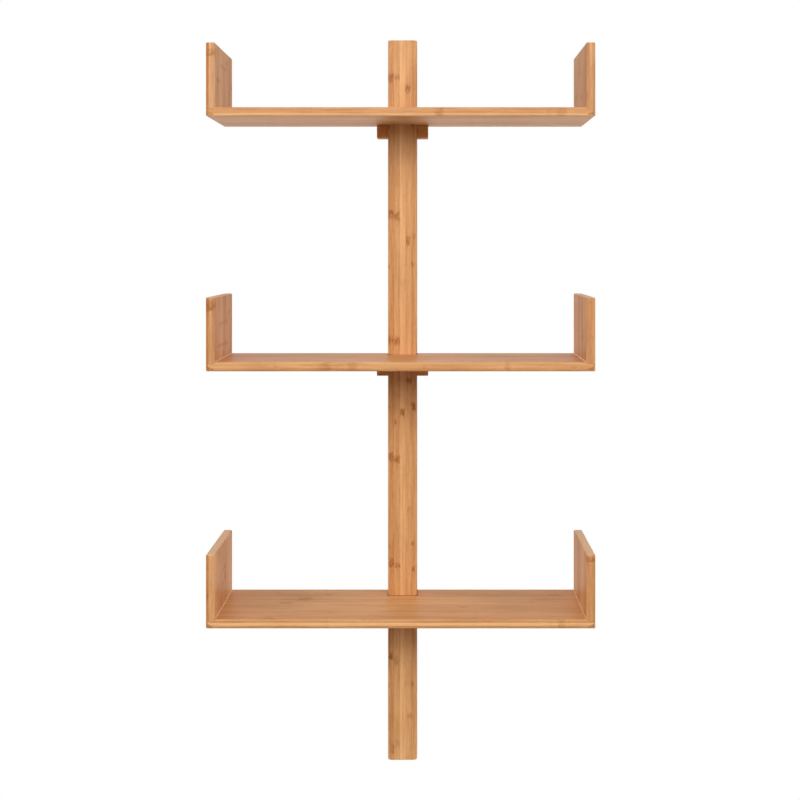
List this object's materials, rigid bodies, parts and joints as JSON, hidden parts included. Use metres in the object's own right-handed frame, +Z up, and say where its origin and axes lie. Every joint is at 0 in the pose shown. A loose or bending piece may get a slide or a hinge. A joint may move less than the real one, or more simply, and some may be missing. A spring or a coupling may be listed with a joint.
{
  "type": "wall shelf",
  "caption": "Bamboo wall shelf: an upright post flat on the wall carries open trays with side panels, one above another, for books and small things.",
  "frame": {"origin": "middle of the post's back face, in the plane of the wall", "axes": "+Z up along the post, +Y into the wall, so the front faces -Y, and +X to the right as seen from the front"},
  "size_m": [0.6, 0.15, 1.185],
  "materials": {
    "post_bamboo": "laminated bamboo with upright strips, clear satin lacquer",
    "board_bamboo": "laminated bamboo with strips along the board, clear satin lacquer",
    "side_bamboo": "laminated bamboo with upright strips, clear satin lacquer",
    "cleat_bamboo": "laminated bamboo, clear satin lacquer",
    "zinc_steel": "zinc-plated steel"
  },
  "bodies": {
    "root": {"post": "post_bamboo", "board_bottom": "board_bamboo", "board_middle": "board_bamboo", "board_top": "board_bamboo", "side_bottom_left": "side_bamboo", "side_bottom_right": "side_bamboo", "side_middle_left": "side_bamboo", "side_middle_right": "side_bamboo", "side_top_left": "side_bamboo", "side_top_right": "side_bamboo", "cleat_bottom": "cleat_bamboo", "cleat_middle": "cleat_bamboo", "cleat_top": "cleat_bamboo", "hanger_plate_lower": "zinc_steel", "hanger_plate_upper": "zinc_steel", "cleat_screw_bottom_left": "zinc_steel", "cleat_screw_bottom_right": "zinc_steel", "cleat_screw_middle_left": "zinc_steel", "cleat_screw_middle_right": "zinc_steel", "cleat_screw_top_left": "zinc_steel", "cleat_screw_top_right": "zinc_steel", "tray_screw_bottom_left": "zinc_steel", "tray_screw_bottom_right": "zinc_steel", "tray_screw_middle_left": "zinc_steel", "tray_screw_middle_right": "zinc_steel", "tray_screw_top_left": "zinc_steel", "tray_screw_top_right": "zinc_steel", "plate_screw_lower_above": "zinc_steel", "plate_screw_lower_below": "zinc_steel", "plate_screw_upper_above": "zinc_steel", "plate_screw_upper_below": "zinc_steel"}
  },
  "joints": []
}
